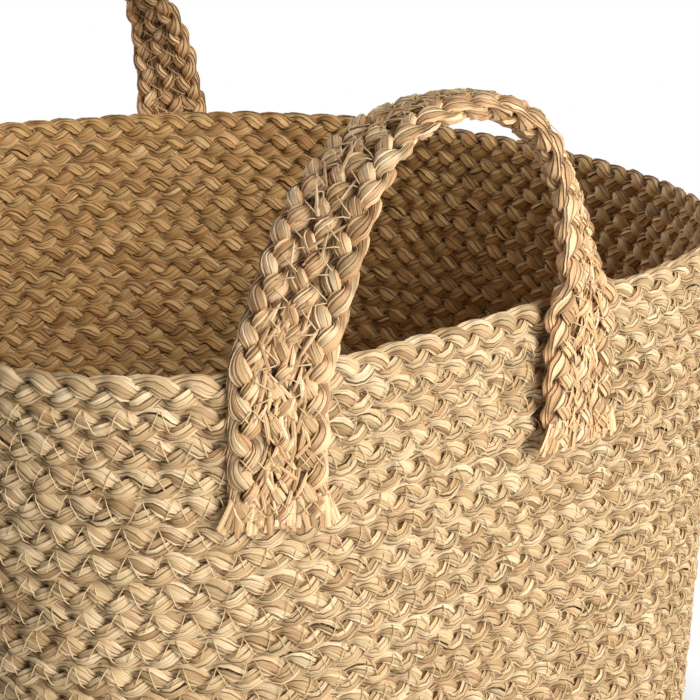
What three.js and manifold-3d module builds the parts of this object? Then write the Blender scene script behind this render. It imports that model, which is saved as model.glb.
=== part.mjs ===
// A sewn basket of dried-leaf plait for magazines, with two strap handles. Millimetres, +Z up.
// The origin is on the floor under the middle of the rim's plan. The front handle is on -Y.
import * as THREE from "three";
import { mergeVertices } from "three/addons/utils/BufferGeometryUtils.js";
import Module from "manifold-3d";

const wasm = await Module();
wasm.setup();

// Driving dimensions of the body: a plait wound up the wall in rows.
const rowCount = 24; // turns of the wall's winding
const rowPitch = 10.6; // height that one row adds
const rowGap = 0.5; // free space between one row and the next
const wallThickness = 8;
const planHalfWidth = 191; // the rim's half width along X, at the middle of the plait
const planHalfDepth = 210; // the same along Y
const planSquareness = 2.77; // 2 is an ellipse, more is squarer
const planTriangleShare = 0.0665; // a gentle three-cornered wave of a soft rim
const planCornerShare = -0.0281; // a gentle skew of its corners
const baseScaleShare = 0.945; // size of the lowest row against the rim
const bellyPower = 1.3; // how late the wall draws in on its way down
const climbShare = 1 / 6; // part of each turn in which the row climbs to the next level
const climbStartTurnShare = 0.46; // where on the plan that climb starts, on the left at the back
const stationsPerTurn = 24;
const tailCutShare = 0.25; // the tapered ends of the winding are cut this far into the climb
const flankShare = 0.28; // half the flat flank of a row's section, against its height

// Driving dimensions of the handles: straps of plaits side by side.
const plaitsPerHandle = 3;
const strapPlaitPitch = 11.2; // from one plait's middle to the next
const strapPlaitGap = 0.4;
const strapThickness = 8.5;
const strapFlatShare = 0.3; // half the flat face of a plait's section, against its width
const handleHalfSpan = 66.5; // each foot's middle, from the middle of the basket along X
const handleHeight = 77.8; // the crown's middle line above the rim
const archPower = 2.18; // 2 is an ellipse, more is squarer
const crownSideways = 12; // the crown leans this far to +X
const crownInwards = 9.8; // and this far in over the basket
const legDrawIn = 5.5; // the legs draw towards each other at half height
const legTwist = 0.45; // radians that the strap turns just above the rim
const legTwistEndShare = 0.15; // the part of the height in which it does so
const crownTwist = 1.25; // radians that it turns more towards the crown
const crownTwistPower = 2.16;
const footLength = 53; // the sewn part, below the rim's top edge
const seatClearance = 0.4; // between a foot and the wall
const archSteps = 32;
const footSteps = 3;

// The fold of a handle: the bow turns in the feet along a cylinder round the fold axis.
const foldHeight = 18; // of the fold axis above the rim
const foldRadius = 17.5;
const foldClearance = 0.3;
const foldSegments = 48;
const cutterOverrun = 12;

// The threads.
const threadThickness = 1;
const threadClearance = 0.45;
const seamHalfWidth = 3; // half the width of a lengthwise zigzag seam
const seamStartRise = 5; // a seam's first corner above the fold axis, at least
const footStitchDepths = [14, 31, 48]; // each stitch line's middle, below the rim's top edge
const footStitchHalfHeight = 3.5;
const footStitchHalfWidth = 14;
const footStitchCorners = 9;

// Sizes that follow from these.
const wallHeight = rowCount * rowPitch;
const rowHeight = rowPitch - rowGap;
const strapOffset = wallThickness / 2 + seatClearance + strapThickness / 2;
const plaitWidth = strapPlaitPitch - strapPlaitGap;
const threadLift = strapThickness / 2 + threadClearance + threadThickness / 2;
const up = new THREE.Vector3(0, 0, 1);

const materials = {
  body: new THREE.MeshStandardMaterial({ color: 0xc8ab78, roughness: 0.8, metalness: 0 }),
  handle: new THREE.MeshStandardMaterial({ color: 0xcdb083, roughness: 0.8, metalness: 0 }),
  thread: new THREE.MeshStandardMaterial({ color: 0xe2d0a4, roughness: 0.7, metalness: 0 }),
};

const basket = new THREE.Group();

function addPiece(name, geometry, material) {
  const mesh = new THREE.Mesh(geometry, material);
  mesh.name = name;
  basket.add(mesh);
}

// A closed tube through rings of points. Each ring is a convex outline with as many points.
function tubeThrough(rings) {
  const sides = rings[0].length;
  const faces = [];
  for (let r = 0; r + 1 < rings.length; r++)
    for (let s = 0; s < sides; s++) {
      const next = (s + 1) % sides;
      const a = r * sides + s;
      const b = r * sides + next;
      faces.push(a, b, b + sides, a, b + sides, a + sides);
    }
  const last = (rings.length - 1) * sides;
  for (let s = 1; s + 1 < sides; s++) {
    faces.push(0, s + 1, s);
    faces.push(last, last + s, last + s + 1);
  }
  const points = rings.flat();
  const volume = signedVolume(points, faces);
  if (volume < 0) for (let i = 0; i < faces.length; i += 3) [faces[i], faces[i + 1]] = [faces[i + 1], faces[i]];
  const geometry = new THREE.BufferGeometry();
  geometry.setAttribute("position", new THREE.Float32BufferAttribute(points.flatMap((p) => p.toArray()), 3));
  geometry.setIndex(faces);
  return geometry;
}

function signedVolume(points, faces) {
  let total = 0;
  for (let i = 0; i < faces.length; i += 3) {
    const [a, b, c] = [points[faces[i]], points[faces[i + 1]], points[faces[i + 2]]];
    total += a.dot(b.clone().cross(c)) / 6;
  }
  return total;
}

// Booleans.
function solidOf(geometry) {
  const bare = geometry.clone();
  bare.deleteAttribute("normal");
  bare.deleteAttribute("uv");
  const merged = mergeVertices(bare);
  return new wasm.Manifold(
    new wasm.Mesh({
      numProp: 3,
      vertProperties: new Float32Array(merged.attributes.position.array),
      triVerts: new Uint32Array(merged.index.array),
    }),
  );
}

function geometryOf(solid) {
  const mesh = solid.getMesh();
  const geometry = new THREE.BufferGeometry();
  geometry.setAttribute("position", new THREE.BufferAttribute(mesh.vertProperties, mesh.numProp));
  geometry.setIndex(new THREE.BufferAttribute(mesh.triVerts, 1));
  return geometry;
}

// The plan of the rim.
function planRadius(angle) {
  const x = Math.cos(angle) / planHalfWidth;
  const y = Math.sin(angle) / planHalfDepth;
  const plain = (Math.abs(x) ** planSquareness + Math.abs(y) ** planSquareness) ** (-1 / planSquareness);
  const phase = Math.atan2(y, x);
  const wave = planTriangleShare * Math.cos(3 * phase) + planCornerShare * Math.sin(4 * phase);
  return plain * (1 + wave);
}

function planPoint(station) {
  const angle = (2 * Math.PI * station) / stationsPerTurn;
  const radius = planRadius(angle);
  return new THREE.Vector3(radius * Math.cos(angle), radius * Math.sin(angle), 0);
}

// The outward direction at a station: square to the line between its neighbours.
function planOutward(station) {
  const along = planPoint(station + 1).sub(planPoint(station - 1));
  return new THREE.Vector3(along.y, -along.x, 0).normalize();
}

function wallScale(depth) {
  return 1 - (1 - baseScaleShare) * Math.max(depth / wallHeight, 0) ** bellyPower;
}

// The wall: one plait in level rows, each of which climbs to the next in the same short stretch.
// Both ends taper in that stretch, so that the floor and the rim stay level.
function windingRing(station) {
  const turns = station / stationsPerTurn;
  const row = Math.floor(turns);
  const climb = Math.min((turns - row) / climbShare, 1);
  const middle = (row - 0.5 + climb) * rowPitch;
  const low = Math.max(middle - rowHeight / 2, rowGap / 2);
  const high = Math.min(middle + rowHeight / 2, wallHeight - rowGap / 2);
  const centre = (low + high) / 2;
  const half = (high - low) / 2;
  const flank = 2 * half * flankShare;
  const onPlan = station + climbStartTurnShare * stationsPerTurn;
  const spot = planPoint(onPlan).multiplyScalar(wallScale(wallHeight - centre));
  const outward = planOutward(onPlan).multiplyScalar(wallThickness / 2);
  const at = (side, rise) => spot.clone().addScaledVector(outward, side).setZ(centre + rise);
  return [at(1, -flank), at(1, flank), at(0, half), at(-1, flank), at(-1, -flank), at(0, -half)];
}

function windingStations() {
  const tail = tailCutShare * climbShare * stationsPerTurn;
  const end = (rowCount + climbShare) * stationsPerTurn - tail;
  const stations = [];
  for (let s = Math.ceil(tail); s < end; s++) stations.push(s);
  return stations;
}

// The least distance between points of one turn and the points of the next turn above it.
function leastSelfGap(rings) {
  let least = Infinity;
  for (let r = 0; r + stationsPerTurn < rings.length; r++)
    for (const a of rings[r]) for (const b of rings[r + stationsPerTurn]) least = Math.min(least, a.distanceTo(b));
  return least;
}

function addWall() {
  const rings = windingStations().map(windingRing);
  console.log("least gap between two rows, mm:", leastSelfGap(rings).toFixed(2));
  addPiece("wall_plait", tubeThrough(rings), materials.body);
}

// The base: a flat slab as thick as the plait, inside the lowest row.
function addBase() {
  const inset = wallThickness / 2 + seatClearance;
  const shape = new THREE.Shape();
  for (let s = 0; s < stationsPerTurn; s++) {
    const station = s + climbStartTurnShare * stationsPerTurn;
    const corner = planPoint(station).multiplyScalar(wallScale(wallHeight));
    corner.addScaledVector(planOutward(station), -inset);
    if (s === 0) shape.moveTo(corner.x, corner.y);
    else shape.lineTo(corner.x, corner.y);
  }
  shape.closePath();
  const geometry = new THREE.ExtrudeGeometry(shape, { depth: wallThickness, bevelEnabled: false });
  addPiece("base_plait", geometry, materials.body);
}

// Where a foot is sewn: the flat of the wall's outline at that X, on the front (-1) or the back (1).
function footSeat(x, side) {
  for (let s = 0; s < stationsPerTurn; s++) {
    const station = s + climbStartTurnShare * stationsPerTurn;
    const from = planPoint(station);
    const to = planPoint(station + 1);
    if ((from.x - x) * (to.x - x) > 0 || from.y * side < 0) continue;
    const point = from.clone().lerp(to, (x - from.x) / (to.x - from.x));
    const along = to.clone().sub(from).normalize();
    return { point, outward: new THREE.Vector3(along.y, -along.x, 0) };
  }
  throw new Error("the foot lies off the plan");
}

// The middle line of one handle's strap, with the strap's own directions at each station.
function strapStations(side) {
  const seats = [footSeat(-handleHalfSpan, side), footSeat(handleHalfSpan, side)];
  const starts = seats.map((seat) => seat.point.clone().addScaledVector(seat.outward, strapOffset));
  const chord = starts[1].clone().sub(starts[0]);
  const half = chord.length() / 2;
  chord.normalize();
  const middle = starts[0].clone().add(starts[1]).multiplyScalar(0.5);
  const outward = new THREE.Vector3(chord.y, -chord.x, 0).multiplyScalar(-side);
  const stations = [];

  const addFootStation = (end, depth) => {
    const { point, outward: face } = seats[end];
    const spot = point.clone().multiplyScalar(wallScale(depth)).addScaledVector(face, strapOffset);
    stations.push({ spot: spot.setZ(wallHeight - depth), face: face.clone(), twist: 0 });
  };
  for (let s = 0; s < footSteps; s++) addFootStation(0, footLength * (1 - s / footSteps));
  for (let s = 0; s <= archSteps; s++) {
    const turn = (Math.PI * s) / archSteps;
    const across = -Math.sign(Math.cos(turn)) * Math.abs(Math.cos(turn)) ** (2 / archPower);
    const rise = Math.abs(Math.sin(turn)) ** (2 / archPower);
    const drawIn = 4 * legDrawIn * rise * (1 - rise) * across;
    const spot = middle.clone().addScaledVector(chord, half * across + crownSideways * rise - drawIn);
    spot.addScaledVector(outward, -crownInwards * rise ** 2).setZ(wallHeight + handleHeight * rise);
    const face = seats[0].outward.clone().lerp(seats[1].outward, (across + 1) / 2);
    const ease = THREE.MathUtils.smoothstep(rise, 0, legTwistEndShare);
    stations.push({ spot, face, twist: legTwist * ease + crownTwist * rise ** crownTwistPower });
  }
  for (let s = 1; s <= footSteps; s++) addFootStation(1, (footLength * s) / footSteps);

  stations.forEach((station, i) => {
    const before = stations[Math.max(i - 1, 0)].spot;
    const after = stations[Math.min(i + 1, stations.length - 1)].spot;
    station.along = after.clone().sub(before).normalize();
    const face = station.face.addScaledVector(station.along, -station.face.dot(station.along)).normalize();
    const turned = face.clone().cross(station.along).multiplyScalar(-side);
    station.face = face.multiplyScalar(Math.cos(station.twist)).addScaledVector(turned, Math.sin(station.twist));
    station.across = station.along.clone().cross(station.face).multiplyScalar(-side);
  });
  return { stations, chord, outward, middle, starts };
}

const strapPoint = (station, across, lift) =>
  station.spot.clone().addScaledVector(station.across, across).addScaledVector(station.face, lift);

function plaitRing(station, offset) {
  const edge = plaitWidth / 2;
  const flat = plaitWidth * strapFlatShare;
  const half = strapThickness / 2;
  return [
    strapPoint(station, offset + edge, 0),
    strapPoint(station, offset + flat, half),
    strapPoint(station, offset - flat, half),
    strapPoint(station, offset - edge, 0),
    strapPoint(station, offset - flat, -half),
    strapPoint(station, offset + flat, -half),
  ];
}

// The block round one leg, from below its foot to the fold axis, less a cylinder round that axis.
function legCutter(strap, end, radius) {
  const reach = strapPlaitPitch * plaitsPerHandle + cutterOverrun;
  const low = wallHeight - footLength - cutterOverrun;
  const high = wallHeight + foldHeight;
  const block = new THREE.BoxGeometry(reach, reach, high - low);
  const round = new THREE.CylinderGeometry(radius, radius, reach + cutterOverrun, foldSegments);
  round.rotateZ(Math.PI / 2);
  const turn = Math.atan2(strap.chord.y, strap.chord.x);
  const at = strap.starts[end];
  block.rotateZ(turn).translate(at.x, at.y, (low + high) / 2);
  round.rotateZ(turn).translate(at.x, at.y, high);
  return solidOf(block).subtract(solidOf(round));
}

// A zigzag thread through corners, square in section. Each corner has its own lift direction.
function threadThrough(corners) {
  const half = threadThickness / 2;
  const rings = corners.map(({ spot, lift }, i) => {
    const before = corners[Math.max(i - 1, 0)].spot;
    const after = corners[Math.min(i + 1, corners.length - 1)].spot;
    const along = after.clone().sub(before).normalize();
    const side = along.clone().cross(lift).normalize();
    const at = (a, b) => spot.clone().addScaledVector(side, a * half).addScaledVector(lift, b * half);
    return [at(1, 1), at(-1, 1), at(-1, -1), at(1, -1)];
  });
  return tubeThrough(rings);
}

function addSeamThreads(label, strap) {
  const lowest = wallHeight + foldHeight + seamStartRise;
  const held = strap.stations.filter((station) => station.spot.z > lowest);
  for (let seam = 1; seam < plaitsPerHandle; seam++) {
    const groove = (seam - plaitsPerHandle / 2) * strapPlaitPitch;
    const corners = held.map((station, i) => ({
      spot: strapPoint(station, groove + (i % 2 ? seamHalfWidth : -seamHalfWidth), threadLift),
      lift: station.face,
    }));
    addPiece(`${label}_seam_thread_${seam}`, threadThrough(corners), materials.thread);
  }
}

function addFootStitches(label, strap, end) {
  const foot = end === 0 ? strap.stations.slice(0, footSteps + 1) : strap.stations.slice(-footSteps - 1).reverse();
  const bottom = foot[0];
  const top = foot[footSteps];
  footStitchDepths.forEach((depth, line) => {
    const corners = [];
    for (let c = 0; c < footStitchCorners; c++) {
      const across = footStitchHalfWidth * ((2 * c) / (footStitchCorners - 1) - 1);
      const level = depth + (c % 2 ? footStitchHalfHeight : -footStitchHalfHeight);
      const low = strapPoint(bottom, across, threadLift);
      const high = strapPoint(top, across, threadLift);
      corners.push({ spot: high.lerp(low, level / footLength), lift: bottom.face });
    }
    addPiece(`${label}_stitch_line_${line + 1}`, threadThrough(corners), materials.thread);
  });
}

// One handle: each plait is swept from foot to foot, then parted at its two folds.
function addHandle(label, side) {
  const strap = strapStations(side);
  const ends = ["left", "right"];
  const feet = ends.map((_, end) => legCutter(strap, end, foldRadius + foldClearance));
  const folds = ends.map((_, end) => legCutter(strap, end, foldRadius));
  for (let p = 0; p < plaitsPerHandle; p++) {
    const offset = (p - (plaitsPerHandle - 1) / 2) * strapPlaitPitch;
    const whole = solidOf(tubeThrough(strap.stations.map((station) => plaitRing(station, offset))));
    ends.forEach((word, end) => {
      const foot = whole.intersect(feet[end]);
      addPiece(`${label}_${word}_foot_plait_${p + 1}`, geometryOf(foot), materials.handle);
    });
    const bow = whole.subtract(folds[0]).subtract(folds[1]);
    addPiece(`${label}_plait_${p + 1}`, geometryOf(bow), materials.handle);
  }
  addSeamThreads(label, strap);
  ends.forEach((word, end) => addFootStitches(`${label}_${word}_foot`, strap, end));
  const pivot = strap.middle.clone().setZ(wallHeight + foldHeight);
  console.log(label, "fold axis through", pivot.toArray().map((v) => v.toFixed(3)).join(" "));
  console.log(label, "fold axis along", strap.chord.toArray().map((v) => v.toFixed(5)).join(" "));
}

addBase();
addWall();
addHandle("front_handle", -1);
addHandle("back_handle", 1);

export default basket;
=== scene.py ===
"""The looks of a sewn basket of dried-leaf plait with two strap handles.

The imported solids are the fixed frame. Each plait is three strands of flat leaf blades, laid over
the same winding and the same straps as the solids, and sewn with a fine zigzag thread.
Lengths are metres, +Z is up, and the front handle is on -Y.
"""

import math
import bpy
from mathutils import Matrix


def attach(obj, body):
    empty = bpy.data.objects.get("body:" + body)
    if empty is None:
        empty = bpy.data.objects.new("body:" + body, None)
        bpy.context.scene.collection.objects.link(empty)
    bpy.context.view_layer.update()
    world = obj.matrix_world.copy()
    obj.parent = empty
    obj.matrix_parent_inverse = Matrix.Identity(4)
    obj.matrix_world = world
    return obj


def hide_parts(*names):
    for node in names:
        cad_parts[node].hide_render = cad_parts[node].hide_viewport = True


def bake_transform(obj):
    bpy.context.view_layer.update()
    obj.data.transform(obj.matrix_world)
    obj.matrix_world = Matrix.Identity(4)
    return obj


bl_info = {
    "name": "Plaited magazine basket",
    "version": (1, 0, 0),
    "blender": (4, 5, 0),
    "location": "View3D > Sidebar > Basket",
    "description": "Builds a sewn basket of dried-leaf plait with two strap handles",
    "category": "Add Mesh",
}

import bpy
import numpy as np
from mathutils import Vector

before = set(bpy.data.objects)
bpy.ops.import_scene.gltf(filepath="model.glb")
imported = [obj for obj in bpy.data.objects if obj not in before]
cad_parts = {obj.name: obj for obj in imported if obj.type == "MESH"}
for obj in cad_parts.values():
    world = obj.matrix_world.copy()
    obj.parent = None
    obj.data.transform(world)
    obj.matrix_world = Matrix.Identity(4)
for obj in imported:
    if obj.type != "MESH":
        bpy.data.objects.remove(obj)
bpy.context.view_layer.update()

# The solids' driving dimensions, in metres.
ROW_COUNT = 24
ROW_PITCH = 0.0106
WALL_THICKNESS = 0.008
PLAN_HALF_WIDTH = 0.191
PLAN_HALF_DEPTH = 0.210
PLAN_SQUARENESS = 2.77
PLAN_TRIANGLE_SHARE = 0.0665
PLAN_CORNER_SHARE = -0.0281
BASE_SCALE_SHARE = 0.945
BELLY_POWER = 1.3
CLIMB_SHARE = 1 / 6
CLIMB_START_TURN_SHARE = 0.46
STATIONS_PER_TURN = 24
TAIL_CUT_SHARE = 0.25
STRAP_PLAIT_PITCH = 0.0112
STRAP_THICKNESS = 0.0085
PLAITS_PER_HANDLE = 3
HANDLE_HALF_SPAN = 0.0665
HANDLE_HEIGHT = 0.0778
ARCH_POWER = 2.18
CROWN_SIDEWAYS = 0.012
CROWN_INWARDS = 0.0098
LEG_DRAW_IN = 0.0055
LEG_TWIST = 0.45
LEG_TWIST_END_SHARE = 0.15
CROWN_TWIST = 1.25
CROWN_TWIST_POWER = 2.16
FOOT_LENGTH = 0.053
FOOT_STITCH_DEPTHS = (0.014, 0.031, 0.048)
SEAT_CLEARANCE = 0.0004

WALL_HEIGHT = ROW_COUNT * ROW_PITCH
STRAP_OFFSET = WALL_THICKNESS / 2 + SEAT_CLEARANCE + STRAP_THICKNESS / 2
HANDLES = (("front_handle", -1), ("back_handle", 1))
FEET = ("left", "right")

# How the plaits lie over those solids.
GUIDE_STEPS_PER_TURN = 168
PLAN_DRAW_IN = 0.0008  # the round wall runs midway between the solids' corners and flats
EDGE_REACH = 0.0065  # from a row's middle to its edge
LEAST_GIRTH = 0.2  # of a whole row, where the winding starts and ends
ROWS_PER_PIECE = 3
BASE_INSET_ROWS = 0.36  # from the wall's inner face to the middle of the base's first ring
LEAST_RING_SCALE = 0.02
CENTRE_TURNS = 0.95  # the base's plait curls into its middle over this many turns
CENTRE_CURL = 1.45  # how far it curls in, in distances from the last ring to the middle
PRESS_HEIGHT = 0.0015  # below this the plait flattens towards the floor
FLOOR_REACH = 3.0
FLOOR_SHADOW_REACH = 0.2  # the floor is itself inside this radius, and plain white from a quarter more
UP = np.array([0.0, 0.0, 1.0])


def unit(vectors):
    """Each row of an array, at length 1."""
    return vectors / np.linalg.norm(vectors, axis=-1, keepdims=True)


def smooth_step(value):
    value = np.clip(value, 0, 1)
    return value * value * (3 - 2 * value)


def new_object(name, data):
    """A new object in the scene, at the origin."""
    thing = bpy.data.objects.new(name, data)
    bpy.context.scene.collection.objects.link(thing)
    return thing


def mesh_object(name, points, edges, faces):
    mesh = bpy.data.meshes.new(name)
    mesh.from_pydata(points, edges, faces)
    return new_object(name, mesh)


def discard(thing):
    """Removes an object and its mesh."""
    mesh = thing.data
    bpy.data.objects.remove(thing)
    bpy.data.meshes.remove(mesh)


# The plan of the rim, as in the solids.


def plan_points(angle):
    """Points of the rim's plan at these angles, at full size."""
    x = np.cos(angle) / PLAN_HALF_WIDTH
    y = np.sin(angle) / PLAN_HALF_DEPTH
    plain = (np.abs(x) ** PLAN_SQUARENESS + np.abs(y) ** PLAN_SQUARENESS) ** (-1 / PLAN_SQUARENESS)
    phase = np.arctan2(y, x)
    wave = PLAN_TRIANGLE_SHARE * np.cos(3 * phase) + PLAN_CORNER_SHARE * np.sin(4 * phase)
    radius = plain * (1 + wave)
    return np.stack([radius * np.cos(angle), radius * np.sin(angle), np.zeros_like(radius)], -1)


def plan_outward(angle):
    """The plan's outward directions at these angles."""
    step = 0.002
    along = plan_points(angle + step) - plan_points(angle - step)
    return unit(np.stack([along[..., 1], -along[..., 0], np.zeros_like(along[..., 0])], -1))


def wall_scale(depth):
    """The plan's scale at that depth below the rim."""
    share = np.clip(depth / WALL_HEIGHT, 0, None) ** BELLY_POWER
    return 1 - (1 - BASE_SCALE_SHARE) * share


# Guides. Each is the middle line of a plait, with its side and face directions and its girth.


def plait_line(spots, sides, faces, girths=None):
    """A guide from its arrays. Its girth is 1 all along where none is given."""
    girths = np.ones(len(spots)) if girths is None else girths
    return {"spots": spots, "sides": sides, "faces": faces, "girths": girths}


def winding_guide(lean):
    """The wall's winding from the floor to the rim, and the turn that each of its points is on.

    lean is how far each row leans outwards.
    """
    tail = TAIL_CUT_SHARE * CLIMB_SHARE * STATIONS_PER_TURN
    end = (ROW_COUNT + CLIMB_SHARE) * STATIONS_PER_TURN - tail
    count = int((end - tail) / STATIONS_PER_TURN * GUIDE_STEPS_PER_TURN)
    turns = np.linspace(tail, end, count) / STATIONS_PER_TURN
    row = np.floor(turns)
    climb = smooth_step((turns - row) / CLIMB_SHARE)
    middle = (row - 0.5 + climb) * ROW_PITCH
    low = np.maximum(middle - ROW_PITCH / 2, 0)
    high = np.minimum(middle + ROW_PITCH / 2, WALL_HEIGHT)
    girth = np.clip((high - low) / ROW_PITCH, LEAST_GIRTH, 1)
    solid_z = (low + high) / 2
    reach = EDGE_REACH * girth
    room = (solid_z - ROW_PITCH * girth / 2) / (WALL_HEIGHT - ROW_PITCH * girth)
    angle = 2 * np.pi * (turns + CLIMB_START_TURN_SHARE)
    outward = plan_outward(angle)
    spots = plan_points(angle) * wall_scale(WALL_HEIGHT - solid_z)[:, None] - outward * PLAN_DRAW_IN
    spots[:, 2] = reach + room * (WALL_HEIGHT - 2 * reach)
    sides = UP * math.cos(lean) + outward * math.sin(lean)
    faces = outward * math.cos(lean) - UP * math.sin(lean)
    return plait_line(spots, sides, faces, girth), turns


def base_guide(pitch):
    """The base's flat rings, each stepping in to the next. The last one curls into the middle."""
    inset = WALL_THICKNESS / 2 + pitch * BASE_INSET_ROWS
    start = 1 - inset / (BASE_SCALE_SHARE * PLAN_HALF_WIDTH)
    fade = pitch / (BASE_SCALE_SHARE * (PLAN_HALF_WIDTH + PLAN_HALF_DEPTH) / 2)
    last = math.floor((start - LEAST_RING_SCALE) / fade)
    closed = last + 1 + CLIMB_SHARE
    count = (last + 2) * GUIDE_STEPS_PER_TURN
    turns = np.linspace(TAIL_CUT_SHARE * CLIMB_SHARE, closed + CENTRE_TURNS, count)
    row = np.floor(turns)
    ring = np.minimum(row - 1 + smooth_step((turns - row) / CLIMB_SHARE), last)
    ring += CENTRE_CURL * (start / fade - last) * np.clip((turns - closed) / CENTRE_TURNS, 0, 1)
    scale = (start - fade * ring) * BASE_SCALE_SHARE
    spots = plan_points(2 * np.pi * (turns + CLIMB_START_TURN_SHARE)) * scale[:, None]
    spots[:, 2] = WALL_THICKNESS / 2
    faces = np.broadcast_to(UP, spots.shape)
    return plait_line(spots, np.cross(faces, unit(np.gradient(spots, axis=0))), faces)


def foot_seat(x, side):
    """The point and the outward direction of the solids' flat at that X, at the front or the back."""
    for station in range(STATIONS_PER_TURN):
        at = (station + np.array([0, 1])) / STATIONS_PER_TURN + CLIMB_START_TURN_SHARE
        start, end = plan_points(2 * np.pi * at)
        if (start[0] - x) * (end[0] - x) > 0 or start[1] * side < 0:
            continue
        point = start + (end - start) * (x - start[0]) / (end[0] - start[0])
        along = unit(end - start)
        return point, np.array([along[1], -along[0], 0.0])
    raise ValueError("the foot lies off the plan")


def foot_seats(side):
    """The seats of one handle's left and right foot."""
    return [foot_seat(x, side) for x in (-HANDLE_HALF_SPAN, HANDLE_HALF_SPAN)]


def strap_guide(side, foot_steps=24, arch_steps=160):
    """One handle's strap from its left foot over the crown to its right foot."""
    seats = foot_seats(side)
    starts = [point + face * STRAP_OFFSET for point, face in seats]
    chord = starts[1] - starts[0]
    half = np.linalg.norm(chord) / 2
    chord = chord / (2 * half)
    outward = np.array([chord[1], -chord[0], 0.0]) * -side
    middle = (starts[0] + starts[1]) / 2
    spots, faces, twists = [], [], []

    def foot_station(end, depth):
        point, face = seats[end]
        spot = point * wall_scale(depth) + face * STRAP_OFFSET
        spot[2] = WALL_HEIGHT - depth
        spots.append(spot)
        faces.append(face)
        twists.append(0.0)

    for step in range(foot_steps):
        foot_station(0, FOOT_LENGTH * (1 - step / foot_steps))
    for step in range(arch_steps + 1):
        turn = math.pi * step / arch_steps
        across = -math.copysign(abs(math.cos(turn)) ** (2 / ARCH_POWER), math.cos(turn))
        rise = abs(math.sin(turn)) ** (2 / ARCH_POWER)
        draw_in = 4 * LEG_DRAW_IN * rise * (1 - rise) * across
        spot = middle + chord * (half * across + CROWN_SIDEWAYS * rise - draw_in)
        spot = spot - outward * CROWN_INWARDS * rise**2
        spot[2] = WALL_HEIGHT + HANDLE_HEIGHT * rise
        spots.append(spot)
        faces.append(seats[0][1] + (seats[1][1] - seats[0][1]) * (across + 1) / 2)
        ease = float(smooth_step(rise / LEG_TWIST_END_SHARE))
        twists.append(LEG_TWIST * ease + CROWN_TWIST * rise**CROWN_TWIST_POWER)
    for step in range(1, foot_steps + 1):
        foot_station(1, FOOT_LENGTH * step / foot_steps)

    spots, faces, twists = np.array(spots), np.array(faces), np.array(twists)[:, None]
    along = np.zeros_like(spots)
    along[1:-1] = spots[2:] - spots[:-2]
    along[0], along[-1] = spots[1] - spots[0], spots[-1] - spots[-2]
    along = unit(along)
    faces = unit(faces - along * (faces * along).sum(1, keepdims=True))
    turned = np.cross(faces, along) * -side
    faces = faces * np.cos(twists) + turned * np.sin(twists)
    return plait_line(spots, np.cross(faces, along), faces)


def across_foot(side, end, depth, lift, reach, fan=0.0):
    """A short line over one foot of a strap, at that depth below the rim.

    Its side direction is up, fanned out towards the line's ends.
    """
    point, face = foot_seats(side)[end]
    middle = point * wall_scale(depth) + face * (STRAP_OFFSET + lift)
    middle[2] = WALL_HEIGHT - depth
    along = np.cross(UP, face)
    share = np.linspace(-1, 1, 9)[:, None]
    spots = middle + along * reach * share
    sides = UP * np.cos(fan * share) - along * np.sin(fan * share)
    return plait_line(spots, sides, np.broadcast_to(face, spots.shape))


def beside(guide, across):
    """A guide moved along its own side direction."""
    return {**guide, "spots": guide["spots"] + guide["sides"] * across}


def reversed_guide(guide):
    """The same line from its other end, so that the plait's bundles point the other way."""
    return {name: values[::-1] * (-1 if name == "sides" else 1) for name, values in guide.items()}


GUIDE_WORDS = (("side", "FLOAT_VECTOR"), ("face", "FLOAT_VECTOR"), ("girth", "FLOAT"))


def guide_object(name, guide):
    """A guide as a line of vertices with its directions as attributes."""
    spots = guide["spots"].tolist()
    line = mesh_object(name, spots, [(i, i + 1) for i in range(len(spots) - 1)], [])
    for word, kind in GUIDE_WORDS:
        attribute = line.data.attributes.new(word, kind, "POINT")
        field = "vector" if kind == "FLOAT_VECTOR" else "value"
        attribute.data.foreach_set(field, np.ascontiguousarray(guide[word + "s"], np.float32).ravel())
    return line


def guide_steps(guide):
    return np.linalg.norm(np.diff(guide["spots"], axis=0), axis=1)


def guide_length(guide):
    return float(guide_steps(guide).sum())


# Node trees: sums on sockets are written as Python expressions.


class Term:
    """One output socket, with the operators that the trees use."""

    def __init__(self, maker, socket):
        self.maker = maker
        self.socket = socket

    def math(self, operation, *others):
        values = [self, *others]
        vectors = [isinstance(v, Term) and v.socket.type in ("VECTOR", "RGBA") for v in values]
        if not any(vectors):
            return self.maker.math(operation, *values)
        sockets = dict(enumerate(values))
        if operation == "MULTIPLY" and not all(vectors):
            vector, number = values if vectors[0] else values[::-1]
            operation, sockets = "SCALE", {0: vector, "Scale": number}
        return self.maker.add("ShaderNodeVectorMath", {"operation": operation}, sockets)

    def __add__(self, other):
        return self.math("ADD", other)

    def __sub__(self, other):
        return self.math("SUBTRACT", other)

    def __rsub__(self, other):
        return self.maker.number(other).math("SUBTRACT", self)

    def __mul__(self, other):
        return self.math("MULTIPLY", other)

    def __truediv__(self, other):
        return self.math("DIVIDE", other)

    def __rtruediv__(self, other):
        return self.maker.number(other).math("DIVIDE", self)

    def __neg__(self):
        return self * -1.0

    __radd__ = __add__
    __rmul__ = __mul__

    def __gt__(self, other):
        return self.math("GREATER_THAN", other)

    def cross(self, other):
        return self.math("CROSS_PRODUCT", other)


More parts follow.
